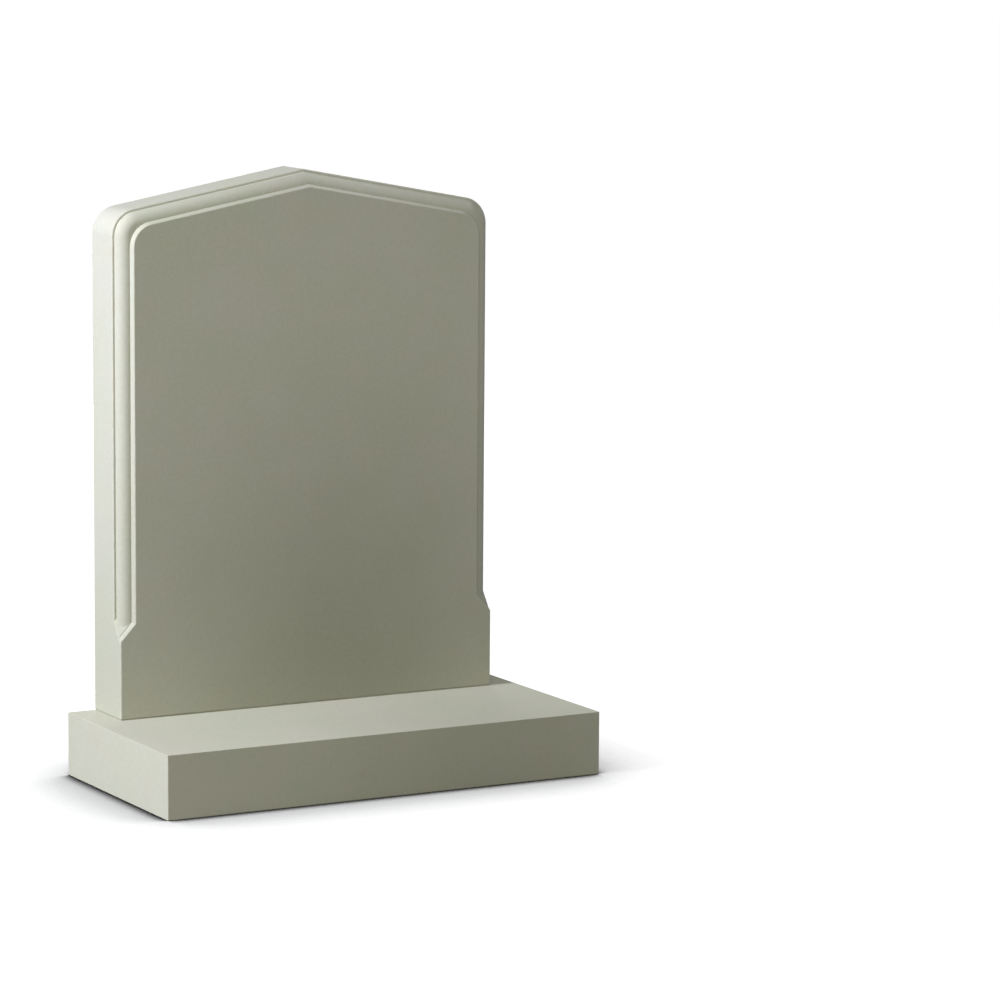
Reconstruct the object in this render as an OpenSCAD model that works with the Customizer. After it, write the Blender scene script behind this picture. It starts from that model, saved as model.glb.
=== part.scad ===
// Lawn memorial: an upright headstone with a shallow gabled head and rounded
// shoulders, pinned by two dowels to a rectangular base slab over a thin bed
// of mortar. A quirk, an ovolo and a splayed fillet run round the front edge
// of the headstone and stop above its foot, where the fillet turns out to the
// sides and the ovolo ends on a splay.
//
// Millimetres, +Z up. The origin is at the middle of the base's underside,
// and the inscription face looks along -Y.

/* [Base slab] */
// Width of the base, left to right
base_w = 762; // [700:1:1000]
// Depth of the base, front to back
base_d = 381; // [300:1:500]
// Height of the base
base_h = 102; // [90:1:160]

/* [Headstone] */
// Width of the headstone
stone_w = 668; // [560:1:690]
// Height of the headstone from its foot to its apex
stone_h = 861; // [700:1:1000]
// Thickness of the headstone, front to back
stone_t = 102; // [76:1:130]
// Distance from the back of the base to the back of the headstone
back_margin = 0; // [0:1:60]
// Slope of the gabled top, in degrees from level
rake_angle = 10.4; // [5:0.1:20]
// Radius of the two shoulders of the headstone
shoulder_r = 44; // [36:1:60]

/* [Edge moulding] */
// Width of the quirk, the narrow step between the sides and the ovolo
quirk_w = 4.5; // [2:0.5:6]
// Radius of the ovolo, the quarter round of the moulding
ovolo_r = 17.5; // [12:0.5:22]
// Width of the flat valley between the ovolo and the fillet
valley_w = 1; // [0.5:0.5:4]
// Depth of the fillet, from the front face down to the valley
fillet_d = 7.5; // [4:0.5:12]
// How far the fillet leans in over its depth
fillet_lean = 3.5; // [1:0.5:6]
// Radius of the shoulders of the front panel inside the moulding
panel_r = 37; // [30:1:60]
// Height above the foot at which the panel's edge starts to turn outwards
stop_h = 152; // [100:1:260]
// Angle at which the moulding turns outwards at its stops, in degrees
stop_angle = 43; // [25:1:50]
// Angle at which the splayed end of the ovolo rises from its stop, in degrees
stop_splay = 53; // [30:1:60]

/* [Joint] */
// Thickness of the mortar bed between the base and the headstone
bed_t = 2; // [2:0.5:6]
// How far the mortar is kept back from the edges of the headstone's foot
bed_recess = 1.5; // [1:0.5:12]
// Diameter of the stainless steel dowels
dowel_d = 12; // [8:1:20]
// Distance between the two dowels, centre to centre
dowel_spacing = 400; // [240:1:480]
// Depth to which a dowel enters the base
dowel_in_base = 60; // [40:1:75]
// Height to which a dowel enters the headstone
dowel_in_stone = 87; // [60:1:110]
// Gap for grout all round a dowel, and over its top end
grout_gap = 0.5; // [0.5:0.5:2]

/* [Hidden] */
$fn = 96;
stone_color = [0.745, 0.745, 0.68];
mortar_color = [0.42, 0.41, 0.37];
steel_color = [0.62, 0.63, 0.64];

// The headstone stands on the bed, its back in line with the back margin
foot_z = base_h + bed_t;
front_y = base_d / 2 - back_margin - stone_t;
middle_y = front_y + stone_t / 2;
half_w = stone_w / 2;

// Inset of the front panel's edge from the sides, and depth of the quirk
panel_inset = quirk_w + ovolo_r + valley_w + fillet_lean;
quirk_depth = fillet_d + ovolo_r;

// Corners between a side and a rake turn through this angle
shoulder_turn = 90 - rake_angle;
// Cutters run this far past the faces that they open
past = 30;
front_past = 4;
side_past = panel_inset + past;
far_x = -half_w - 2 * side_past;

// Flats in the ovolo and in each shoulder, and the last station of a side
ovolo_steps = 12;
bend_steps = 16;
apex_station = bend_steps + 3;

// A line that follows the headstone's outline at an inset has these places
function rake_top(inset) = stone_h - inset / cos(rake_angle);
function corner_z(inset) = rake_top(inset) - (half_w - inset) * tan(rake_angle);
function shoulder_z(inset, radius) = corner_z(inset) - radius * tan(shoulder_turn / 2);

module base_slab() {
    color(stone_color)
    difference() {
        translate([-base_w / 2, -base_d / 2, 0]) cube([base_w, base_d, base_h]);
        dowel_places(base_h - dowel_in_base) dowel_hole(dowel_in_base + past);
    }
}

module mortar_bed() {
    bed_w = stone_w - 2 * bed_recess;
    bed_d = stone_t - 2 * bed_recess;
    color(mortar_color)
    difference() {
        translate([-bed_w / 2, front_y + bed_recess, base_h]) cube([bed_w, bed_d, bed_t]);
        dowel_places(base_h - past) dowel_hole(bed_t + 2 * past);
    }
}

module headstone() {
    color(stone_color)
    difference() {
        translate([0, front_y, foot_z]) moulded_stone();
        dowel_places(foot_z - past) dowel_hole(past + dowel_in_stone + grout_gap);
    }
}

module dowel_left() {
    dowel(-1);
}

module dowel_right() {
    dowel(1);
}

// The headstone with its front face on y = 0 and its foot on z = 0
module moulded_stone() {
    difference() {
        stone_block();
        moulding_waste();
    }
}

// The whole block of the headstone before its moulding is worked, with its
// front face on y = 0 and its foot on z = 0
module stone_block() {
    translate([0, stone_t, 0]) rotate([90, 0, 0]) linear_extrude(stone_t) {
        polygon(concat(
            [[-half_w, 0], [half_w, 0]],
            shoulder_points(1),
            [[0, stone_h]],
            [for (i = [2 : -1 : 0]) shoulder_points(-1)[i]]
        ));
        for (side = [-1, 1])
            translate([side * (half_w - shoulder_r), shoulder_z(0, shoulder_r)])
                circle(shoulder_r);
    }
}

// End of a side, centre of its shoulder and start of the rake
function shoulder_points(side) = [
    [side * half_w, shoulder_z(0, shoulder_r)],
    [side * (half_w - shoulder_r), shoulder_z(0, shoulder_r)],
    [side * (half_w - shoulder_r + shoulder_r * sin(rake_angle)),
     shoulder_z(0, shoulder_r) + shoulder_r * cos(rake_angle)]
];

// What is worked off the front edge: the moulding's section, swept up the left
// side from its stop, round the head and down the right side. Every corner of
// the section follows a line of its own, because the panel's shoulders and the
// headstone's shoulders have different centres.
module moulding_waste() {
    section = moulding_section();
    left = [for (k = [0 : apex_station]) [for (line = section) station(k, line)]];
    right = [for (k = [apex_station - 1 : -1 : 0]) [for (p = left[k]) [-p.x, p.y, p.z]]];
    rings = concat(left, right);
    corners = len(section);
    last_ring = (len(rings) - 1) * corners;
    polyhedron(
        points = [for (ring = rings) each ring],
        faces = concat(
            [[for (j = [0 : corners - 1]) j]],
            [for (i = [0 : len(rings) - 2]) for (j = [0 : corners - 1])
                each strip(i * corners, j, (j + 1) % corners, corners)],
            [[for (j = [corners - 1 : -1 : 0]) last_ring + j]]
        )
    );
}

// Two triangles between a ring that starts at point number n and the next ring
function strip(n, j, next, corners) = [
    [n + j, n + corners + j, n + corners + next],
    [n + j, n + corners + next, n + next]
];

// Corners of the section, each [inset, bend radius, depth]: down the splayed
// fillet, across the valley, round the ovolo, and out along the quirk
function moulding_section() = concat(
    [panel_line(panel_inset + front_past * fillet_lean / fillet_d, -front_past),
     panel_line(panel_inset - fillet_lean, fillet_d)],
    [for (i = [0 : ovolo_steps])
        ovolo_line(quirk_w + ovolo_r * (1 - sin(90 * i / ovolo_steps)),
                   quirk_depth - ovolo_r * cos(90 * i / ovolo_steps))],
    [edge_line(-side_past, quirk_depth), edge_line(-side_past, -front_past)]
);

// Lines that bend round the shoulders of the stone, and those of the panel.
// The fourth value is the height above the foot at which the line stops.
function edge_line(inset, depth) = [inset, shoulder_r - inset, depth, mitre_z(inset)];
function ovolo_line(inset, depth) = [inset, shoulder_r - inset, depth, splay_z(inset, depth)];
function panel_line(inset, depth) = [inset, panel_r + panel_inset - inset, depth, mitre_z(inset)];

// The fillet is mitred where it turns outwards, and the ovolo ends on a splay
// that rises from the turned valley to the quirk
function mitre_z(inset) = stop_h + (panel_inset - inset) * tan(stop_angle / 2);
function splay_z(inset, depth) = mitre_z(quirk_w + ovolo_r)
    - (quirk_w + ovolo_r - inset) / tan(stop_angle) + (depth - fillet_d) * tan(stop_splay);

// Place of a line at each station on the left side: the end of the stop, its
// turn, the steps of the shoulder and the apex
function station(k, line) = let (p =
    k == 0 ? [far_x, line[3] - (line[0] - half_w - far_x) / tan(stop_angle)] :
    k == 1 ? [line[0] - half_w, line[3]] :
    k == apex_station ? [0, rake_top(line[0])] :
    [line[0] + line[1] - half_w, shoulder_z(line[0], line[1])]
        + line[1] * [-cos(shoulder_turn * (k - 2) / bend_steps), sin(shoulder_turn * (k - 2) / bend_steps)]
) [p[0], line[2], p[1]];

module dowel_places(z) {
    for (side = [-1, 1]) translate([side * dowel_spacing / 2, middle_y, z]) children();
}

module dowel_hole(depth) {
    cylinder(d = dowel_d + 2 * grout_gap, h = depth);
}

module dowel(side) {
    color(steel_color)
    translate([side * dowel_spacing / 2, middle_y, base_h - dowel_in_base])
        cylinder(d = dowel_d, h = dowel_in_base + bed_t + dowel_in_stone);
}

base_slab();
mortar_bed();
headstone();
dowel_left();
dowel_right();
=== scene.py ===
"""Upright memorial headstone on its base slab, dressed for show.

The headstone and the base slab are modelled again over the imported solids, with
softly worn arrises, and the mortar bed and the dowels keep their solids and get
their finishes. Metres, +Z up, the inscription face looks along -Y.
"""

import logging
from collections.abc import Callable, Iterator, Sequence
from contextlib import contextmanager
from dataclasses import dataclass, field
from enum import Enum
from math import cos, radians, sin, tan

import bmesh
import bpy
from mathutils import Matrix, Vector


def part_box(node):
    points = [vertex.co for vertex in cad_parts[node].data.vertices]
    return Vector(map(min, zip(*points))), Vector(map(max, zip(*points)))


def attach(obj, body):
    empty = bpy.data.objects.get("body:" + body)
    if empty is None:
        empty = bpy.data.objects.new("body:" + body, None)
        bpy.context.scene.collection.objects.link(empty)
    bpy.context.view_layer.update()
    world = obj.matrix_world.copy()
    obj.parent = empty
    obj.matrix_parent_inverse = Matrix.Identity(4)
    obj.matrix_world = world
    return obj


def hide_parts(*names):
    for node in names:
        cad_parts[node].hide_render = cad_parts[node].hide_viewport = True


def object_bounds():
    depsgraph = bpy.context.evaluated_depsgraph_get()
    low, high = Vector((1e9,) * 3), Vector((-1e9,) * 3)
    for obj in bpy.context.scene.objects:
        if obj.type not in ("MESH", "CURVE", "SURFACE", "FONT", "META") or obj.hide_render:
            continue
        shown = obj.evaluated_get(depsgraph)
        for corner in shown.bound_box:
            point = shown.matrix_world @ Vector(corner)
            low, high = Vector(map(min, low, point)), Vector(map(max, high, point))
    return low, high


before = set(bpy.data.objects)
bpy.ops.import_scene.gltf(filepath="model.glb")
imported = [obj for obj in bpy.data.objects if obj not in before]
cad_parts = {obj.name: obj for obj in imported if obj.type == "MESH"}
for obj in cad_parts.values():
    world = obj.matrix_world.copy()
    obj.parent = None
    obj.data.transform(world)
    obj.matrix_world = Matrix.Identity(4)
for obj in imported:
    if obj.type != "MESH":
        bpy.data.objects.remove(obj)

CAD_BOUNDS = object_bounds()
LOG = logging.getLogger("memorial")

MM = 0.001
# Places closer than this count as one.
TOUCH = 0.01 * MM
# Outer edges that turn through more than this are arrises.
ARRIS_ANGLE = radians(24)
# Corners, edges and faces are numbered by their distance from this place.
SORT_PLACE = (1.3717, -2.1139, 3.7151)
# Nearly all values of a noise lie in this span.
NOISE_SPAN = (0.3, 0.7)
BLACK = (0.0, 0.0, 0.0, 1.0)
WHITE = (1.0, 1.0, 1.0, 1.0)

Colour = tuple[float, float, float]
Place = tuple[float, float, float]
Value = float | bpy.types.NodeSocket


class Side(Enum):
    """The two sides of the memorial, as a person sees them who faces it."""

    LEFT = -1
    RIGHT = 1


class Slot(Enum):
    """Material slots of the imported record."""

    STONE = "rubbed_stone"
    MORTAR = "bedding_mortar"
    STEEL = "stainless_steel"


class Elements(Enum):
    """What is selected in edit mode."""

    CORNERS = "VERT"
    EDGES = "EDGE"


# ---------------------------------------------------------------------------
# Modelling by hand
# ---------------------------------------------------------------------------


def deselect() -> None:
    """Leave edit mode, and leave nothing selected."""
    if bpy.context.mode != "OBJECT":
        bpy.ops.object.mode_set(mode="OBJECT")
    bpy.ops.object.select_all(action="DESELECT")


def take(piece: bpy.types.Object) -> None:
    """Make a piece the only selected and the active one.

    Args:
        piece: The piece to take.
    """
    deselect()
    piece.select_set(True)
    bpy.context.view_layer.objects.active = piece


@contextmanager
def editing(piece: bpy.types.Object, elements: Elements = Elements.CORNERS) -> Iterator[None]:
    """Edit a piece's mesh with operators.

    Args:
        piece: The piece to edit.
        elements: What is selected in it.

    Returns:
        A context, inside which the piece is in edit mode.
    """
    take(piece)
    bpy.ops.object.mode_set(mode="EDIT")
    bpy.ops.mesh.select_mode(type=elements.value)
    yield
    bpy.ops.object.mode_set(mode="OBJECT")


def pick_all() -> None:
    """Select all of the edited mesh."""
    bpy.ops.mesh.select_all(action="SELECT")


def pick_verts(wanted: Callable[[Vector], bool]) -> None:
    """Select corners of the edited mesh by their place.

    Args:
        wanted: Tells whether the corner at a place is wanted.
    """
    bpy.ops.mesh.select_all(action="DESELECT")
    mesh = bmesh.from_edit_mesh(bpy.context.edit_object.data)
    for vert in mesh.verts:
        vert.select_set(bool(wanted(vert.co)))
    mesh.select_flush_mode()
    bmesh.update_edit_mesh(bpy.context.edit_object.data)


def pick_edges(wanted: Callable[[bmesh.types.BMEdge], bool]) -> None:
    """Select edges of the edited mesh.

    Args:
        wanted: Tells whether an edge is wanted.
    """
    bpy.ops.mesh.select_all(action="DESELECT")
    mesh = bmesh.from_edit_mesh(bpy.context.edit_object.data)
    mesh.normal_update()
    for edge in mesh.edges:
        if wanted(edge):
            edge.select_set(True)
    bmesh.update_edit_mesh(bpy.context.edit_object.data)


def extrude(move: Vector) -> None:
    """Extrude what is selected, by a move in metres."""
    bpy.ops.mesh.extrude_region_move(TRANSFORM_OT_translate={"value": tuple(move)})


def apply_modifiers(piece: bpy.types.Object) -> None:
    """Apply every modifier of a piece, in order.

    Args:
        piece: The piece whose modifiers are applied.
    """
    take(piece)
    for modifier in list(piece.modifiers):
        bpy.ops.object.modifier_apply(modifier=modifier.name)


def block(name: str, low: Vector, high: Vector) -> bpy.types.Object:
    """Add a rectangular block between two corners.

    Args:
        name: Name of the new piece.
        low: Its lowest corner.
        high: Its highest corner.

    Returns:
        The block, with its place in its mesh.
    """
    deselect()
    bpy.ops.mesh.primitive_cube_add(size=1, location=(low + high) / 2, scale=high - low)
    return settled(name)


def rod(name: str, radius: float, low: Vector, length: float,
        corners: int) -> bpy.types.Object:
    """Add an upright round rod.

    Args:
        name: Name of the new piece.
        radius: Its radius.
        low: The middle of its lower end.
        length: Its length.
        corners: Number of flats round it.

    Returns:
        The rod, with its place in its mesh.
    """
    deselect()
    bpy.ops.mesh.primitive_cylinder_add(
        vertices=corners, radius=radius, depth=length,
        location=low + Vector((0, 0, length / 2)))
    return settled(name)


def point(name: str, place: Vector) -> bpy.types.Object:
    """Add a mesh of a single corner, from which a line is drawn by extruding.

    Args:
        name: Name of the new piece.
        place: Where the corner lies.

    Returns:
        The piece, with its corner left selected for edit mode.
    """
    deselect()
    bpy.ops.mesh.primitive_plane_add(size=0.01, location=place)
    piece = settled(name)
    with editing(piece):
        pick_all()
        bpy.ops.mesh.merge(type="CENTER")
    return piece


def settled(name: str) -> bpy.types.Object:
    """Name the active piece, and put its place, turn and scale into its mesh.

    Args:
        name: Its new name.

    Returns:
        The piece.
    """
    piece = bpy.context.active_object
    piece.name = piece.data.name = name
    bpy.ops.object.transform_apply(location=True, rotation=True, scale=True)
    return piece


def put_in_order(piece: bpy.types.Object) -> None:
    """Number a piece's corners, edges and faces by place, the same way in every run.

    Args:
        piece: The piece to number anew.
    """
    bpy.context.scene.cursor.location = SORT_PLACE
    with editing(piece):
        pick_all()
        bpy.ops.mesh.sort_elements(type="CURSOR_DISTANCE", elements={"VERT", "EDGE", "FACE"})
    bpy.context.scene.cursor.location = (0, 0, 0)


def cut(piece: bpy.types.Object, tool: bpy.types.Object) -> None:
    """Cut a tool's solid out of a piece, and remove the tool.

    Args:
        piece: The piece that is cut.
        tool: The solid that is taken out of it.
    """
    modifier = piece.modifiers.new("cut", "BOOLEAN")
    modifier.operation = "DIFFERENCE"
    modifier.solver = "EXACT"
    modifier.object = tool
    apply_modifiers(piece)
    deselect()
    bpy.data.objects.remove(tool)
    put_in_order(piece)


def is_arris(edge: bmesh.types.BMEdge) -> bool:
    """Tell whether an edge is a sharp outer edge of a solid."""
    return len(edge.link_faces) == 2 and edge.is_convex and edge.calc_face_angle(0) > ARRIS_ANGLE


def ease_arrises(piece: bpy.types.Object, radius: float,
                 share: Callable[[bmesh.types.BMEdge], float]) -> None:
    """Round the arrises of a piece, and mark the rounded strips as worn.

    Args:
        piece: The piece whose arrises are eased.
        radius: How far the widest rounding reaches from its arris.
        share: Gives the share of that radius for an arris, 0 to leave it sharp.
    """
    with editing(piece, Elements.EDGES):
        mesh = bmesh.from_edit_mesh(piece.data)
        mesh.normal_update()
        weights = {round(share(edge), 3) for edge in mesh.edges if is_arris(edge)} - {0.0}
        for weight in sorted(weights):
            pick_edges(lambda edge: is_arris(edge) and round(share(edge), 3) == weight)
            bpy.ops.transform.edge_bevelweight(value=weight)
    plain, eased = (bpy.data.materials.new(name) for name in ("plain", "eased"))
    for material in (plain, eased):
        piece.data.materials.append(material)
    modifier = piece.modifiers.new("eased", "BEVEL")
    modifier.limit_method = "WEIGHT"
    modifier.width = radius
    modifier.segments = 4
    modifier.use_clamp_overlap = False
    modifier.material = 1
    apply_modifiers(piece)
    worn = [float(face.material_index) for face in piece.data.polygons]
    piece.data.materials.clear()
    for material in (plain, eased):
        bpy.data.materials.remove(material)
    piece.data.attributes.new("arris", "FLOAT", "FACE").data.foreach_set("value", worn)


def finish_surface(piece: bpy.types.Object, crease: float) -> None:
    """Shade a piece smoothly up to a crease angle, with its flats kept flat.

    Args:
        piece: The piece to shade.
        crease: Angle from which an edge stays sharp.
    """
    take(piece)
    bpy.ops.object.shade_smooth_by_angle(angle=crease)
    modifier = piece.modifiers.new("flats", "WEIGHTED_NORMAL")
    modifier.keep_sharp = True
    modifier.weight = 100
    apply_modifiers(piece)


def report(piece: bpy.types.Object, slot: Slot) -> None:
    """Report a finished piece, with its slot and its number of faces."""
    LOG.info("%s: %s, %d faces", piece.name, slot.value, len(piece.data.polygons))


# ---------------------------------------------------------------------------
# Finishes
# ---------------------------------------------------------------------------


def linear(colour: Colour) -> tuple[float, float, float, float]:
    """Turn a colour of 0 to 255 into the linear values that a socket holds."""
    parts = [c / 255 for c in colour]
    return (*[c / 12.92 if c <= 0.04045 else ((c + 0.055) / 1.055) ** 2.4 for c in parts], 1.0)


@dataclass
class Graph:
    """Adds nodes to one material or node group, and joins them."""

    tree: bpy.types.NodeTree

    def add(self, kind: str, inputs: dict[str | int, object] | None = None,
            **settings: object) -> bpy.types.Node:
        """Add a node.

        Args:
            kind: The node's type, without its "ShaderNode" start.
            inputs: What each input gets: a socket to join, or a value.
            settings: The node's own settings.

        Returns:
            The node.
        """
        node = self.tree.nodes.new("ShaderNode" + kind)
        for key, value in settings.items():
            setattr(node, key, value)
        for key, value in (inputs or {}).items():
            if isinstance(value, bpy.types.NodeSocket):
                self.tree.links.new(value, node.inputs[key])
            else:
                node.inputs[key].default_value = value
        return node

    def join(self, start: bpy.types.NodeSocket, end: bpy.types.NodeSocket) -> None:
        """Join an output socket to an input socket."""
        self.tree.links.new(start, end)

    def ramp(self, value: Value, low: Value, high: Value) -> bpy.types.NodeSocket:
        """Turn a value into a soft mask.

        Args:
            value: The value.
            low: The value at which the mask is 0.
            high: The value at which the mask is 1.

        Returns:
            The mask.
        """
        node = self.add(
            "MapRange", {"Value": value, "From Min": low, "From Max": high},
            interpolation_type="SMOOTHSTEP")
        return node.outputs["Result"]

    def math(self, operation: str, first: Value, second: Value = 0.0) -> bpy.types.NodeSocket:
        """Work out one number from two."""
        return self.add("Math", {0: first, 1: second}, operation=operation).outputs[0]

    def blend(self, share: Value, first: object, second: object,
              blend_type: str = "MIX") -> bpy.types.NodeSocket:
        """Blend two colours.

        Args:
            share: How much of the second colour shows.
            first: The first colour, or its socket.
            second: The second colour, or its socket.
            blend_type: How they blend.

        Returns:
            The blended colour.
        """
        # A Mix node's colours are its inputs 6 and 7 and its output 2.
        node = self.add(
            "Mix", {0: share, 6: first, 7: second}, data_type="RGBA", blend_type=blend_type)
        return node.outputs[2]

    def place(self, stretch: Sequence[float] = (1, 1, 1)) -> bpy.types.NodeSocket:
        """Give the place on the object, stretched for a pattern that runs one way."""
        place = self.add("TexCoord").outputs["Object"]
        return self.add("Mapping", {"Vector": place, "Scale": stretch}).outputs["Vector"]

    def group(self, tree: bpy.types.NodeTree, **values: float) -> bpy.types.Node:
        """Place a shared effect.

        Args:
            tree: The effect's node group.
            values: Its own values for some of the inputs, with _ for a space.

        Returns:
            The group's node.
        """
        node = self.add("Group", node_tree=tree)
        for key, value in values.items():
            node.inputs[key.replace("_", " ")].default_value = value
        return node

    def tinted(self, colour: object, mask: bpy.types.NodeSocket, share: float,
               tint: Colour) -> bpy.types.NodeSocket:
        """Lay a tint over a colour, as far as a mask and a share let it show."""
        return self.blend(self.math("MULTIPLY", mask, share), colour, linear(tint))


def node_group(name: str, inputs: dict[str, float], outputs: Sequence[str],
               draw: Callable[[Graph, bpy.types.Node, bpy.types.Node], None]) -> bpy.types.NodeTree:
    """Build a shared effect once, as a shader node group of plain numbers.

    Args:
        name: Name of the group.
        inputs: Names of its inputs, with their usual values.
        outputs: Names of its outputs.
        draw: Draws the nodes, between the group's input and output nodes.

    Returns:
        The group, the same one each time.
    """
    if name in bpy.data.node_groups:
        return bpy.data.node_groups[name]
    tree = bpy.data.node_groups.new(name, "ShaderNodeTree")
    for key, value in inputs.items():
        socket = tree.interface.new_socket(key, in_out="INPUT", socket_type="NodeSocketFloat")
        socket.default_value = value
    for key in outputs:
        tree.interface.new_socket(key, in_out="OUTPUT", socket_type="NodeSocketFloat")
    draw(Graph(tree), tree.nodes.new("NodeGroupInput"), tree.nodes.new("NodeGroupOutput"))
    return tree


def draw_clouding(graph: Graph, given: bpy.types.Node, made: bpy.types.Node) -> None:
    """Draw the broad and the smaller clouds and the flecks in a sedimentary stone.

    Args:
        graph: The group's graph.
        given: The group's input node.
        made: The group's output node.
    """
    amount = given.outputs["Shift"]
    shift = graph.add("CombineXYZ", {0: amount, 1: 0.0, 2: amount}).outputs[0]
    moved = graph.add("VectorMath", {0: graph.place(), 1: shift}, operation="ADD").outputs[0]
    broad = graph.add("TexNoise", {
        "Vector": moved, "Scale": given.outputs["Broad Scale"],
        "Detail": 2.0, "Roughness": 0.45, "Distortion": 0.3})
    small = graph.add("TexNoise", {
        "Vector": moved, "Scale": given.outputs["Small Scale"],
        "Detail": 3.0, "Roughness": 0.55, "Distortion": 0.6})
    fine = graph.math("MULTIPLY", given.outputs["Small Scale"], 8.0)
    fleck = graph.add("TexNoise", {"Vector": moved, "Scale": fine, "Detail": 3.0})
    for name, noise in (("Broad", broad), ("Small", small), ("Fleck", fleck)):
        graph.join(graph.ramp(noise.outputs["Fac"], *NOISE_SPAN), made.inputs[name])


def draw_painted_shade(graph: Graph, given: bpy.types.Node, made: bpy.types.Node) -> None:
    """Draw one broad and soft darker patch of painted shade, where the flowers and the ground shade
    a stone.

    Args:
        graph: The group's graph.
        given: The group's input node.
        made: The group's output node.
    """
    centre = graph.add("CombineXYZ", {axis: given.outputs[axis] for axis in "XYZ"}).outputs[0]
    apart = graph.add("VectorMath", {0: graph.place(), 1: centre}, operation="SUBTRACT").outputs[0]
    squeeze = graph.add("CombineXYZ", {0: given.outputs["Squeeze"], 1: 1.0, 2: 1.0}).outputs[0]
    squeezed = graph.add("VectorMath", {0: apart, 1: squeeze}, operation="MULTIPLY").outputs[0]
    away = graph.add("VectorMath", {0: squeezed}, operation="LENGTH").outputs["Value"]
    uneven = graph.add("TexNoise", {
        "Vector": graph.place(), "Scale": 7.0, "Detail": 2.0, "Roughness": 0.5})
    spread = graph.math("ADD", away, graph.math("MULTIPLY", uneven.outputs["Fac"], 0.1))
    graph.join(graph.ramp(spread, given.outputs["Reach"], 0.0), made.inputs["Damp"])


def draw_grain(graph: Graph, given: bpy.types.Node, made: bpy.types.Node) -> None:
    """Draw fine grains and sparse open pits, and the height of both.

    Args:
        graph: The group's graph.
        given: The group's input node.
        made: The group's output node.
    """
    pit_spacing, pit_rim, pit_floor, pit_depth = 0.32, 0.34, 0.12, 2.5
    place = graph.place()
    fine = graph.add("TexNoise", {
        "Vector": place, "Scale": given.outputs["Scale"], "Detail": 4.0, "Roughness": 0.7})
    coarser = graph.math("MULTIPLY", given.outputs["Scale"], pit_spacing)
    cells = graph.add("TexVoronoi", {"Vector": place, "Scale": coarser, "Randomness": 1.0})
    chance = graph.add("SeparateColor", {"Color": cells.outputs["Color"]}).outputs[0]
    rare = graph.ramp(chance, graph.math("SUBTRACT", 1.0, given.outputs["Pits"]), 1.0)
    pit = graph.math("MULTIPLY", rare, graph.ramp(cells.outputs["Distance"], pit_rim, pit_floor))
    height = graph.math("SUBTRACT", fine.outputs["Fac"], graph.math("MULTIPLY", pit, pit_depth))
    graph.join(graph.ramp(fine.outputs["Fac"], *NOISE_SPAN), made.inputs["Grain"])
    graph.join(pit, made.inputs["Pit"])
    graph.join(height, made.inputs["Height"])


def draw_specks(graph: Graph, given: bpy.types.Node, made: bpy.types.Node) -> None:
    """Draw the few iron specks of a stone, each with a faint stain round it.

    Args:
        graph: The group's graph.
        given: The group's input node.
        made: The group's output node.
    """
    speck_rim, speck_core, stain_rim, stain_core = 0.075, 0.045, 0.3, 0.05
    place = graph.place()
    ragged = graph.add("TexNoise", {"Vector": place, "Scale": 420.0, "Detail": 2.0})
    cells = graph.add("TexVoronoi", {
        "Vector": place, "Scale": given.outputs["Scale"], "Randomness": 1.0})
    chance = graph.add("SeparateColor", {"Color": cells.outputs["Color"]}).outputs[1]
    rare = graph.math("GREATER_THAN", chance, graph.math("SUBTRACT", 1.0, given.outputs["Share"]))
    ragged_by = graph.math("MULTIPLY", ragged.outputs["Fac"], 0.04)
    spread = graph.math("ADD", cells.outputs["Distance"], ragged_by)
    speck = graph.math("MULTIPLY", rare, graph.ramp(spread, speck_rim, speck_core))
    stain = graph.math("MULTIPLY", rare, graph.ramp(spread, stain_rim, stain_core))
    graph.join(speck, made.inputs["Speck"])
    graph.join(stain, made.inputs["Stain"])


def draw_wear(graph: Graph, given: bpy.types.Node, made: bpy.types.Node) -> None:
    """Draw the rubbed, slightly paler arrises, uneven along their length.

    Args:
        graph: The group's graph.
        given: The group's input node.
        made: The group's output node.
    """
    arris = graph.add("Attribute", attribute_name="arris").outputs["Fac"]
    patchy = graph.add("TexNoise", {
        "Vector": graph.place(), "Scale": 38.0, "Detail": 3.0, "Roughness": 0.6})
    patches = graph.ramp(patchy.outputs["Fac"], *NOISE_SPAN)
    share = graph.math("MULTIPLY", patches, given.outputs["Amount"])
    graph.join(graph.math("MULTIPLY", arris, share), made.inputs["Wear"])


def clouding() -> bpy.types.NodeTree:
    """Give the shared clouding of the stones."""
    return node_group(
        "stone_clouding", {"Broad Scale": 5.0, "Small Scale": 21.0, "Shift": 0.0},
        ["Broad", "Small", "Fleck"], draw_clouding)


def shade_and_damp() -> bpy.types.NodeTree:
    """Give the shared patch of painted shade of the stones."""
    return node_group(
        "painted_shade_patch", {"X": 0.0, "Y": 0.0, "Z": 0.0, "Reach": 0.4, "Squeeze": 1.0},
        ["Damp"], draw_painted_shade)


def grain() -> bpy.types.NodeTree:
    """Give the shared grain of stone and mortar."""
    return node_group(
        "stone_grain", {"Scale": 900.0, "Pits": 0.025}, ["Grain", "Pit", "Height"], draw_grain)


def specks() -> bpy.types.NodeTree:
    """Give the shared iron specks of the stones."""
    return node_group(
        "iron_specks", {"Scale": 26.0, "Share": 0.02}, ["Speck", "Stain"], draw_specks)


def wear() -> bpy.types.NodeTree:
    """Give the shared wear of the arrises."""
    return node_group("arris_wear", {"Amount": 0.4}, ["Wear"], draw_wear)


def start_material(name: str) -> tuple[bpy.types.Material, Graph, bpy.types.Node]:
    """Start a material with its Principled shader.

    Args:
        name: Name of the material.

    Returns:
        The material, its graph and its shader.
    """
    material = bpy.data.materials.new(name)
    material.use_nodes = True
    return material, Graph(material.node_tree), material.node_tree.nodes["Principled BSDF"]


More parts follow.
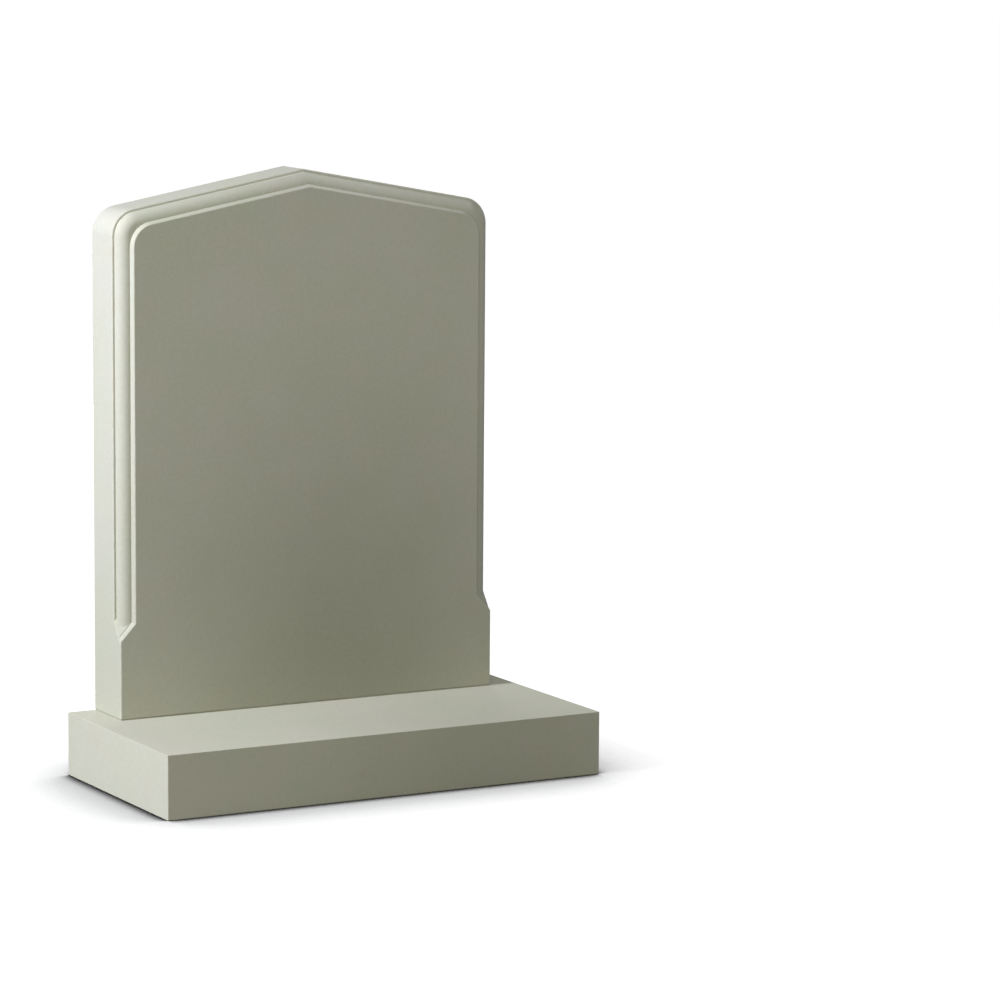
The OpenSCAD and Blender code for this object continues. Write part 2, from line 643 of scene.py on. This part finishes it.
@dataclass(frozen=True)
class StoneFinish:
    """A fine-grained pale stone with a rubbed, matt face."""

    name: str
    # The painted shade patch: its middle, reach, squeeze across and share, darkening a stone where
    # the flowers and the ground shade it.
    shade_place: Place
    shade_reach: float
    shade_squeeze: float = 1.0
    shade_share: float = 1.0
    shift: float = 0.0
    wear: float = 0.4
    body: Colour = (194, 193, 178)
    green: Colour = (188, 191, 172)
    warm: Colour = (195, 191, 175)
    # Colour of the painted shade at the patch's middle.
    shade_and_damp: Colour = (154, 154, 138)
    iron: Colour = (112, 84, 66)
    iron_stain: Colour = (176, 152, 128)
    pit: Colour = (120, 118, 104)
    paler: Colour = (210, 209, 197)
    warm_share: float = 0.5
    pit_share: float = 0.45
    iron_share: float = 0.8
    stain_share: float = 0.2
    tone_swing: float = 0.045
    roughness: float = 0.82
    roughness_swing: float = 0.06
    specular: float = 0.3
    relief: float = 0.25 * MM
    relief_share: float = 0.5

    def material(self) -> bpy.types.Material:
        """Make the material.

        Returns:
            The material.
        """
        material, graph, shader = start_material(self.name)
        clouds = graph.group(clouding(), Shift=self.shift)
        x, y, z = self.shade_place
        patch = graph.group(
            shade_and_damp(), X=x, Y=y, Z=z, Reach=self.shade_reach, Squeeze=self.shade_squeeze)
        grains = graph.group(grain())
        iron = graph.group(specks())
        worn = graph.group(wear(), Amount=self.wear)
        colour = graph.blend(clouds.outputs["Broad"], linear(self.body), linear(self.green))
        colour = graph.tinted(colour, clouds.outputs["Small"], self.warm_share, self.warm)
        # Painted shade: the broad darker patch stands in for the shadow of the flowers and the
        # shade low on the stone.
        colour = graph.tinted(colour, patch.outputs["Damp"], self.shade_share, self.shade_and_damp)
        colour = graph.tinted(colour, worn.outputs["Wear"], 1.0, self.paler)
        flecks = graph.math("ADD", grains.outputs["Grain"], clouds.outputs["Fleck"])
        tone = graph.add("MapRange", {
            "Value": flecks, "From Max": 2.0,
            "To Min": 1 - self.tone_swing, "To Max": 1 + self.tone_swing}).outputs[0]
        grey = graph.add("CombineColor", {0: tone, 1: tone, 2: tone}).outputs[0]
        colour = graph.blend(1.0, colour, grey, "MULTIPLY")
        colour = graph.tinted(colour, grains.outputs["Pit"], self.pit_share, self.pit)
        colour = graph.tinted(colour, iron.outputs["Stain"], self.stain_share, self.iron_stain)
        colour = graph.tinted(colour, iron.outputs["Speck"], self.iron_share, self.iron)
        rough = graph.add("MapRange", {
            "Value": grains.outputs["Grain"],
            "To Min": self.roughness - self.roughness_swing,
            "To Max": self.roughness + self.roughness_swing})
        bump = graph.add("Bump", {
            "Strength": self.relief_share, "Distance": self.relief,
            "Height": grains.outputs["Height"]})
        graph.join(colour, shader.inputs["Base Color"])
        graph.join(rough.outputs[0], shader.inputs["Roughness"])
        graph.join(bump.outputs["Normal"], shader.inputs["Normal"])
        shader.inputs["Specular IOR Level"].default_value = self.specular
        return material


@dataclass(frozen=True)
class MortarFinish:
    """Lime and sand mortar, struck flush and left rough."""

    name: str
    binder: Colour = (170, 170, 156)
    # The mortar's own darker tone, laid at random by the broad clouds; no shade is painted here.
    shade_and_damp: Colour = (152, 153, 140)
    sand: Colour = (176, 170, 150)
    pit: Colour = (60, 58, 50)
    sand_share: float = 0.45
    pit_share: float = 0.6
    roughness: float = 0.93
    relief: float = 0.4 * MM
    relief_share: float = 0.8

    def material(self) -> bpy.types.Material:
        """Make the material.

        Returns:
            The material.
        """
        material, graph, shader = start_material(self.name)
        clouds = graph.group(clouding(), Broad_Scale=14.0, Small_Scale=60.0)
        grains = graph.group(grain(), Scale=1500.0, Pits=0.2)
        colour = graph.blend(clouds.outputs["Broad"], linear(self.binder), linear(self.shade_and_damp))
        colour = graph.tinted(colour, grains.outputs["Grain"], self.sand_share, self.sand)
        colour = graph.tinted(colour, grains.outputs["Pit"], self.pit_share, self.pit)
        bump = graph.add("Bump", {
            "Strength": self.relief_share, "Distance": self.relief,
            "Height": grains.outputs["Height"]})
        graph.join(colour, shader.inputs["Base Color"])
        graph.join(bump.outputs["Normal"], shader.inputs["Normal"])
        shader.inputs["Roughness"].default_value = self.roughness
        return material


@dataclass(frozen=True)
class SteelFinish:
    """Stainless steel bar with the fine lines of drawing along it."""

    name: str
    bright: Colour = (176, 178, 180)
    dull: Colour = (148, 150, 152)
    grooves: Place = (1600.0, 1600.0, 12.0)
    groove_span: tuple[float, float] = (0.35, 0.65)
    roughness: tuple[float, float] = (0.28, 0.42)
    relief: float = 0.05 * MM
    relief_share: float = 0.3

    def material(self) -> bpy.types.Material:
        """Make the material.

        Returns:
            The material.
        """
        material, graph, shader = start_material(self.name)
        drawn = graph.add("TexNoise", {
            "Vector": graph.place(self.grooves), "Scale": 1.0, "Detail": 3.0, "Roughness": 0.6})
        lines = graph.ramp(drawn.outputs["Fac"], *self.groove_span)
        colour = graph.blend(lines, linear(self.bright), linear(self.dull))
        smoothest, roughest = self.roughness
        rough = graph.add("MapRange", {"Value": lines, "To Min": smoothest, "To Max": roughest})
        bump = graph.add("Bump", {
            "Strength": self.relief_share, "Distance": self.relief, "Height": lines})
        graph.join(colour, shader.inputs["Base Color"])
        graph.join(rough.outputs[0], shader.inputs["Roughness"])
        graph.join(bump.outputs["Normal"], shader.inputs["Normal"])
        shader.inputs["Metallic"].default_value = 1.0
        return material


# ---------------------------------------------------------------------------
# Sub-assemblies
# ---------------------------------------------------------------------------


@dataclass
class Joint:
    """The dowelled and bedded joint between the base slab and the headstone."""

    dowel_d: float = 12 * MM
    dowel_spacing: float = 400 * MM
    dowel_in_base: float = 60 * MM
    dowel_in_stone: float = 87 * MM
    grout_gap: float = 0.5 * MM
    drill_corners: int = 48

    def drill(self, piece: bpy.types.Object, low: float, high: float, middle_y: float) -> None:
        """Drill the two dowel holes into a piece.

        Args:
            piece: The piece to drill.
            low: Height at which the holes start.
            high: Height at which they end.
            middle_y: How far back the dowels stand.
        """
        radius = self.dowel_d / 2 + self.grout_gap
        for side in Side:
            place = Vector((side.value * self.dowel_spacing / 2, middle_y, low))
            cut(piece, rod("dowel_drill", radius, place, high - low, self.drill_corners))


def dress_packed(nodes: Sequence[str], material: bpy.types.Material, slot: Slot) -> None:
    """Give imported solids, which keep their shapes, one finish, and report them.

    Args:
        nodes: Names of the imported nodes.
        material: Their material.
        slot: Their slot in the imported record.
    """
    for node in nodes:
        piece = bpy.data.objects[node]
        for place in piece.material_slots:
            place.material = material
        report(piece, slot)


@dataclass
class MortarBed:
    """The thin bed of mortar under the headstone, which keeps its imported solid."""

    node: str = "mortar_bed"
    slot: Slot = Slot.MORTAR
    finish: MortarFinish = MortarFinish("bed_mortar")

    def dress(self) -> None:
        """Give the bed its finish."""
        dress_packed([self.node], self.finish.material(), self.slot)


@dataclass
class Dowels:
    """The two steel dowels inside the joint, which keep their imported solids."""

    nodes: tuple[str, str] = ("dowel_left", "dowel_right")
    slot: Slot = Slot.STEEL
    finish: SteelFinish = SteelFinish("dowel_steel")

    def dress(self) -> None:
        """Give both dowels one finish."""
        dress_packed(self.nodes, self.finish.material(), self.slot)


@dataclass
class Stone:
    """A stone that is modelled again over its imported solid."""

    joint: Joint
    node: str
    finish: StoneFinish
    crease: float
    slot: Slot = Slot.STONE
    past: float = 30 * MM
    low: Vector = field(init=False)
    high: Vector = field(init=False)

    def __post_init__(self) -> None:
        """Read the stone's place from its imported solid."""
        self.low, self.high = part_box(self.node)

    def build(self) -> bpy.types.Object:
        """Model the stone."""
        raise NotImplementedError

    def dress(self, piece: bpy.types.Object) -> None:
        """Give the modelled stone its finish."""
        piece.data.materials.clear()
        piece.data.materials.append(self.finish.material())

    def place_in_frame(self, piece: bpy.types.Object) -> None:
        """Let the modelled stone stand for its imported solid.

        Args:
            piece: The modelled stone.
        """
        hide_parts(self.node)
        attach(piece, "root")
        report(piece, self.slot)


@dataclass
class BaseSlab(Stone):
    """The rectangular slab on which the headstone stands."""

    node: str = "base_slab"
    # Painted shade: the slab is darker towards its right, where the flowers shaded its top and
    # front.
    finish: StoneFinish = StoneFinish(
        "base_slab_stone", shade_place=(0.18, -0.25, -0.06), shade_reach=0.5, shade_share=0.6,
        shift=0.7, wear=0.06)
    crease: float = radians(35)
    eased_arris: float = 1.8 * MM
    crisp_arris: float = 0.6 * MM

    def ease_share(self, edge: bmesh.types.BMEdge) -> float:
        """Keep the arrises round the top crisp, and ease the others."""
        at_top = min(vert.co.z for vert in edge.verts) > self.high.z - TOUCH
        return self.crisp_arris / self.eased_arris if at_top else 1.0

    def build(self) -> bpy.types.Object:
        """Model the slab.

        Returns:
            The slab with its dowel holes and eased arrises.
        """
        slab = block("base_slab_rubbed", self.low, self.high)
        ease_arrises(slab, self.eased_arris, self.ease_share)
        dowel_low, dowel_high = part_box("dowel_left")
        self.joint.drill(
            slab, self.high.z - self.joint.dowel_in_base, self.high.z + self.past,
            (dowel_low.y + dowel_high.y) / 2)
        finish_surface(slab, self.crease)
        return slab


@dataclass
class Headstone(Stone):
    """The upright stone, with a moulding stopped above its foot."""

    node: str = "headstone"
    # Painted shade: the face is darker low down in its middle, in the flowers' shadow, and near its
    # foot.
    finish: StoneFinish = StoneFinish(
        "headstone_stone", shade_place=(0.06, 0.09, 0.08), shade_reach=0.78, shade_squeeze=1.3,
        body=(193, 193, 181))
    crease: float = radians(20)
    rake: float = radians(10.4)
    shoulder_r: float = 44 * MM
    quirk_w: float = 4.5 * MM
    ovolo_r: float = 17.5 * MM
    valley_w: float = 1 * MM
    fillet_d: float = 7.5 * MM
    fillet_lean: float = 3.5 * MM
    panel_r: float = 37 * MM
    stop_h: float = 152 * MM
    stop_turn: float = radians(43)
    stop_splay: float = radians(53)
    outer_arris: float = 2.4 * MM
    inner_arris: float = 1.4 * MM
    # How far the cutters run on past the stone, past the stops and up the rake.
    front_past: float = 4 * MM
    panel_past: float = 36 * MM
    panel_front_past: float = 6 * MM
    stop_past: float = 120 * MM
    turn_past: float = 200 * MM
    rake_reach: float = 1.4
    # Cuts leave edges shorter than this, which are merged away.
    sliver: float = 0.1 * MM
    flat_angle: float = radians(0.2)
    ovolo_steps: int = 20
    bend_steps: int = 28

    @property
    def half_w(self) -> float:
        """Half of the stone's width."""
        return (self.high.x - self.low.x) / 2

    @property
    def panel_inset(self) -> float:
        """Distance of the front panel's edge from the stone's sides."""
        return self.quirk_w + self.ovolo_r + self.valley_w + self.fillet_lean

    @property
    def shoulder_turn(self) -> float:
        """Angle through which the outline turns at a shoulder."""
        return radians(90) - self.rake

    def shoulder_centre(self, radius: float) -> Vector:
        """Give the centre of the left shoulder that has this radius on the outline."""
        height = self.high.z - (self.half_w - radius) * tan(self.rake) - radius / cos(self.rake)
        return Vector((radius - self.half_w, self.low.y, height))

    def round_head(self, radius: float, reach: float) -> None:
        """Draw what is selected round the left shoulder, and up the rake.

        Args:
            radius: Radius of the shoulder on the outline.
            reach: How far the line runs on past the end of the shoulder.
        """
        centre = self.shoulder_centre(radius)
        bpy.ops.mesh.spin(
            steps=self.bend_steps, angle=self.shoulder_turn, center=centre, axis=(0, -1, 0))
        extrude(Vector((cos(self.rake), 0, sin(self.rake))) * reach)

    def blank(self) -> bpy.types.Object:
        """Model the block before its moulding is worked.

        Returns:
            The block, sawn to its outline.
        """
        spring = self.shoulder_centre(self.shoulder_r)
        blank = point("headstone_rubbed", Vector((0, self.low.y, self.low.z)))
        with editing(blank):
            pick_all()
            extrude(Vector((-self.half_w, 0, 0)))
            extrude(Vector((0, 0, spring.z - self.low.z)))
            shoulder_end = self.half_w - self.shoulder_r + self.shoulder_r * sin(self.rake)
            self.round_head(self.shoulder_r, shoulder_end / cos(self.rake))
        self.mirror(blank)
        with editing(blank):
            pick_all()
            bpy.ops.mesh.edge_face_add()
            extrude(Vector((0, self.high.y - self.low.y, 0)))
            pick_all()
            bpy.ops.mesh.normals_make_consistent(inside=False)
        return blank

    def mirror(self, piece: bpy.types.Object) -> None:
        """Add the right half of a piece that was drawn on the left.

        Args:
            piece: The left half.
        """
        modifier = piece.modifiers.new("right_half", "MIRROR")
        modifier.use_clip = True
        modifier.merge_threshold = TOUCH
        apply_modifiers(piece)

    def place(self, inset: float, depth: float, height: float) -> Vector:
        """Give a place by its distance from the left side and behind the front face."""
        return Vector((inset - self.half_w, self.low.y + depth, height))

    def ovolo_section(self, height: float) -> bpy.types.Object:
        """Draw the section of what is worked off outside the ovolo.

        Args:
            height: Height at which the section is drawn.

        Returns:
            The line of the section.
        """
        top, bottom = -self.front_past, self.fillet_d + self.ovolo_r
        inner, outer = self.quirk_w + self.ovolo_r, -self.past
        section = point("ovolo_waste", self.place(inner, top, height))
        with editing(section):
            pick_all()
            extrude(Vector((0, self.fillet_d - top, 0)))
            bpy.ops.mesh.spin(
                steps=self.ovolo_steps, angle=radians(90),
                center=self.place(inner, bottom, height), axis=(0, 0, 1))
            extrude(Vector((outer - self.quirk_w, 0, 0)))
            extrude(Vector((0, top - bottom, 0)))
            pick_all()
        return section

    def panel_section(self, height: float) -> bpy.types.Object:
        """Draw the section of what is worked off outside the front panel.

        Args:
            height: Height at which the section is drawn.

        Returns:
            The line of the section.
        """
        top, outer = -self.panel_front_past, -self.panel_past
        slope = self.fillet_lean / self.fillet_d
        section = point("panel_waste", self.place(self.panel_inset - top * slope, top, height))
        with editing(section):
            pick_all()
            extrude(Vector((top * slope - self.fillet_lean, self.fillet_d - top, 0)))
            extrude(Vector((outer - self.panel_inset + self.fillet_lean, 0, 0)))
            extrude(Vector((0, top - self.fillet_d, 0)))
        return section

    def mitre_place(self, inset: float, depth: float) -> Vector:
        """Give the place at which a line of the moulding turns outwards."""
        rise = (self.panel_inset - inset) * tan(self.stop_turn / 2)
        return self.place(inset, depth, self.low.z + self.stop_h + rise)

    @property
    def outward(self) -> Vector:
        """Direction in which the moulding runs out at its left stop."""
        return Vector((-sin(self.stop_turn), 0, -cos(self.stop_turn)))

    def turn_fillet(self) -> None:
        """Mitre the edited cutter of the fillet at its stop, and turn it outwards."""
        corner = self.mitre_place(self.panel_inset, 0)
        mitre = Vector((sin(self.stop_turn / 2), 0, cos(self.stop_turn / 2)))
        bpy.ops.mesh.bisect(plane_co=corner, plane_no=mitre, clear_inner=True)
        pick_verts(lambda co: abs((co - corner).dot(mitre)) < TOUCH)
        extrude(self.outward * self.turn_past)

    def splay_ovolo(self) -> None:
        """End the edited cutter of the ovolo on its splay, behind the turned valley."""
        corner = self.mitre_place(self.quirk_w + self.ovolo_r, self.fillet_d)
        splay = Vector((0, cos(self.stop_splay), sin(self.stop_splay)))
        for rising in (splay, Vector((0, 1, 0))):
            pick_all()
            bpy.ops.mesh.bisect(
                plane_co=corner, plane_no=rising.cross(self.outward),
                use_fill=True, clear_inner=True)

    def sweep(self, section: bpy.types.Object, radius: float, height: float,
              stop: Callable[[], None]) -> bpy.types.Object:
        """Sweep a section from its stop, up the side and round the head.

        Args:
            section: The line of the section, drawn where the left shoulder starts.
            radius: Radius that the shoulder has on the outline.
            height: Height at which the shoulder starts.
            stop: Shapes the stop of the edited cutter.

        Returns:
            The closed cutter.
        """
        with editing(section):
            pick_all()
            bpy.ops.mesh.edge_face_add()
            bpy.ops.mesh.delete(type="ONLY_FACE")
            pick_all()
            extrude(Vector((0, 0, self.low.z + self.stop_h - self.stop_past - height)))
            pick_all()
            stop()
            pick_verts(lambda co: abs(co.z - height) < TOUCH)
            self.round_head(radius, self.half_w * self.rake_reach)
            pick_all()
            bpy.ops.mesh.bisect(plane_co=(0, 0, 0), plane_no=(1, 0, 0), clear_outer=True)
        self.mirror(section)
        with editing(section):
            pick_all()
            bpy.ops.mesh.remove_doubles(threshold=TOUCH)
            bpy.ops.mesh.fill_holes(sides=0)
            pick_all()
            bpy.ops.mesh.normals_make_consistent(inside=False)
        return section

    def ease_share(self, edge: bmesh.types.BMEdge) -> float:
        """Tell how far an arris is eased.

        Args:
            edge: An arris of the stone before its arrises are eased.

        Returns:
            The share of the outer arris's radius, 0 for the splay's sharp foot.
        """
        inner_share = self.inner_arris / self.outer_arris
        normals = [face.normal for face in edge.link_faces]
        if any(normal.z < -0.9 for normal in normals):
            return inner_share
        if any(abs(normal.y) < 0.001 for normal in normals):
            return 1.0
        valley_y = self.low.y + self.fillet_d
        at_valley = all(abs(vert.co.y - valley_y) < self.sliver for vert in edge.verts)
        return 0.0 if at_valley else inner_share

    def build(self) -> bpy.types.Object:
        """Model the stone.

        Returns:
            The stone with its moulding, dowel holes and worn arrises.
        """
        stone = self.blank()
        for radius, section, stop in (
                (self.shoulder_r, self.ovolo_section, self.splay_ovolo),
                (self.panel_r + self.panel_inset, self.panel_section, self.turn_fillet)):
            spring = self.shoulder_centre(radius).z
            cut(stone, self.sweep(section(spring), radius, spring, stop))
        with editing(stone):
            pick_all()
            bpy.ops.mesh.remove_doubles(threshold=self.sliver)
            bpy.ops.mesh.dissolve_limited(angle_limit=self.flat_angle)
        ease_arrises(stone, self.outer_arris, self.ease_share)
        hole_end = self.low.z + self.joint.dowel_in_stone + self.joint.grout_gap
        middle_y = (self.low.y + self.high.y) / 2
        self.joint.drill(stone, self.low.z - self.past, hole_end, middle_y)
        finish_surface(stone, self.crease)
        return stone


# ---------------------------------------------------------------------------
# Studio
# ---------------------------------------------------------------------------


@dataclass(frozen=True)
class Lamp:
    """A square lamp that the camera doesn't see."""

    name: str
    place: Place
    size: float
    power: float
    colour: Colour

    def hang(self, toward: Vector) -> None:
        """Add the lamp to the scene.

        Args:
            toward: The place at which it points.
        """
        deselect()
        place = Vector(self.place)
        turn = (place - toward).to_track_quat("Z", "Y").to_euler()
        bpy.ops.object.light_add(type="AREA", location=place, rotation=turn)
        lamp = bpy.context.active_object
        lamp.name = self.name
        lamp.data.size = self.size
        lamp.data.energy = self.power
        lamp.data.color = self.colour
        lamp.visible_camera = False


@dataclass
class Studio:
    """The floor, the light and the camera."""

    camera_place: Place = (-3.0367, -5.9926, 1.4261)
    camera_yaw: float = radians(-29.114)
    camera_pitch: float = radians(-8.294)
    camera_roll: float = radians(0.431)
    lens: float = 153.5
    sensor: float = 36.0
    floor_size: float = 60.0
    floor_bounce: float = 0.22
    floor_shadow: float = 0.2
    floor_glow: float = 0.98
    contact_reach: float = 0.048
    contact_lean: Place = (-0.5, 0.4, 1.0)
    contact_rays: int = 8
    contact_span: tuple[float, float] = (0.5, 0.78)
    halo_reach: float = 0.2
    halo_lean: Place = (-0.6, 0.1, 1.0)
    halo_rays: int = 4
    halo_start: float = 0.5
    halo_least: float = 0.3
    ambient: float = 0.16
    ambient_colour: Colour = (0.98, 1.0, 1.0)
    lamps: tuple[Lamp, ...] = (
        Lamp("key", place=(-3.2, -0.1, 2.2), size=0.5, power=139.0, colour=(0.97, 1.0, 1.1)),
        Lamp("front", place=(-2.5, -4.5, 2.6), size=1.6, power=77.0, colour=(1.02, 1.0, 0.8)),
        Lamp("over", place=(-1.8, -0.3, 3.6), size=1.2, power=9.0, colour=(0.97, 1.0, 1.2)),
        Lamp("right", place=(3.5, -1.0, 1.5), size=1.6, power=18.0, colour=(1.0, 1.0, 1.1)),
        Lamp("back", place=(1.6, 4.6, 0.9), size=1.6, power=34.0, colour=(1.0, 1.0, 0.97)))

    def camera(self) -> bpy.types.Object:
        """Place the camera.

        Returns:
            The camera, made the scene's own.
        """
        forward = Vector((
            -sin(self.camera_yaw) * cos(self.camera_pitch),
            cos(self.camera_yaw) * cos(self.camera_pitch),
            sin(self.camera_pitch)))
        right = Vector((cos(self.camera_yaw), sin(self.camera_yaw), 0))
        up = right.cross(forward)
        turn = Matrix.Rotation(self.camera_roll, 3, "Z")
        look = Matrix((right, up, -forward)).transposed() @ turn
        deselect()
        bpy.ops.object.camera_add(location=self.camera_place, rotation=look.to_euler())
        camera = bpy.context.active_object
        camera.name = "camera"
        camera.data.lens = self.lens
        camera.data.sensor_width = self.sensor
        bpy.context.scene.camera = camera
        return camera

    def floor(self) -> bpy.types.Object:
        """Lay the floor: white to the eye, with the memorial's own soft shadow.

        Returns:
            The floor.
        """
        deselect()
        bpy.ops.mesh.primitive_plane_add(size=self.floor_size, location=(0, 0, 0))
        floor = bpy.context.active_object
        floor.name = "floor"
        material = bpy.data.materials.new("pale_floor")
        material.use_nodes = True
        material.node_tree.nodes.clear()
        graph = Graph(material.node_tree)
        plain = graph.add("BsdfDiffuse", {"Color": (*[self.floor_bounce] * 3, 1)})
        near = self.open_sky(graph, self.contact_reach, self.contact_lean, self.contact_rays)
        far = self.open_sky(graph, self.halo_reach, self.halo_lean, self.halo_rays)
        contact = graph.ramp(near, *self.contact_span)
        halo = graph.add("MapRange", {
            "Value": far, "From Min": self.halo_start, "To Min": self.halo_least}).outputs[0]
        light = graph.math("MULTIPLY", contact, halo)
        shade = graph.blend(light, BLACK, (*[self.floor_shadow] * 3, 1))
        shadowed = graph.add("BsdfDiffuse", {"Color": shade})
        glow = graph.add("Emission", {
            "Color": WHITE, "Strength": graph.math("MULTIPLY", light, self.floor_glow)})
        shown = graph.add("AddShader", {0: shadowed.outputs[0], 1: glow.outputs[0]})
        mixed = graph.add("MixShader", {
            0: self.seen(graph), 1: plain.outputs[0], 2: shown.outputs[0]})
        graph.add("OutputMaterial", {"Surface": mixed.outputs[0]})
        floor.data.materials.append(material)
        return floor

    def open_sky(self, graph: Graph, reach: float, lean: Place,
                 rays: int) -> bpy.types.NodeSocket:
        """Tell the floor how open it is to the light round it.

        Args:
            graph: The floor's graph.
            reach: How far away a thing still shades the floor.
            lean: Direction that counts most.
            rays: How many directions are tried.

        Returns:
            The open share, 1 far from everything.
        """
        leaning = Vector(lean).normalized()
        node = graph.add("AmbientOcclusion", {"Distance": reach, "Normal": leaning}, samples=rays)
        return node.outputs["AO"]

    def seen(self, graph: Graph) -> bpy.types.NodeSocket:
        """Tell a surface whether the eye or a reflection sees it, and not plain light.

        Args:
            graph: The graph of the surface or the world.

        Returns:
            A socket that is 1 for the eye and for reflections.
        """
        path = graph.add("LightPath")
        eye = graph.math("MAXIMUM", path.outputs["Is Camera Ray"], path.outputs["Is Glossy Ray"])
        return graph.math("MAXIMUM", eye, path.outputs["Is Transmission Ray"])

    def light(self) -> None:
        """Set up the key lamp at the left, four weaker lamps, and plain light all round."""
        world = bpy.context.scene.world or bpy.data.worlds.new("studio")
        bpy.context.scene.world = world
        world.use_nodes = True
        world.node_tree.nodes.clear()
        graph = Graph(world.node_tree)
        around = graph.add(
            "Background", {"Color": (*self.ambient_colour, 1), "Strength": self.ambient})
        white = graph.add("Background", {"Color": WHITE, "Strength": 1.0})
        mixed = graph.add("MixShader", {
            0: self.seen(graph), 1: around.outputs[0], 2: white.outputs[0]})
        graph.add("OutputWorld", {"Surface": mixed.outputs[0]})
        middle = (CAD_BOUNDS[0] + CAD_BOUNDS[1]) / 2
        for lamp in self.lamps:
            lamp.hang(middle)


def main() -> None:
    """Build the memorial, dress it and set up the studio."""
    logging.basicConfig(level=logging.INFO, format="%(message)s")
    joint = Joint()
    for stone in (BaseSlab(joint), Headstone(joint)):
        piece = stone.build()
        stone.dress(piece)
        stone.place_in_frame(piece)
    for packed in (MortarBed(), Dowels()):
        packed.dress()
    studio = Studio()
    studio.floor()
    studio.light()
    studio.camera()
    bpy.context.scene.view_settings.view_transform = "Standard"


if __name__ == "__main__":
    main()
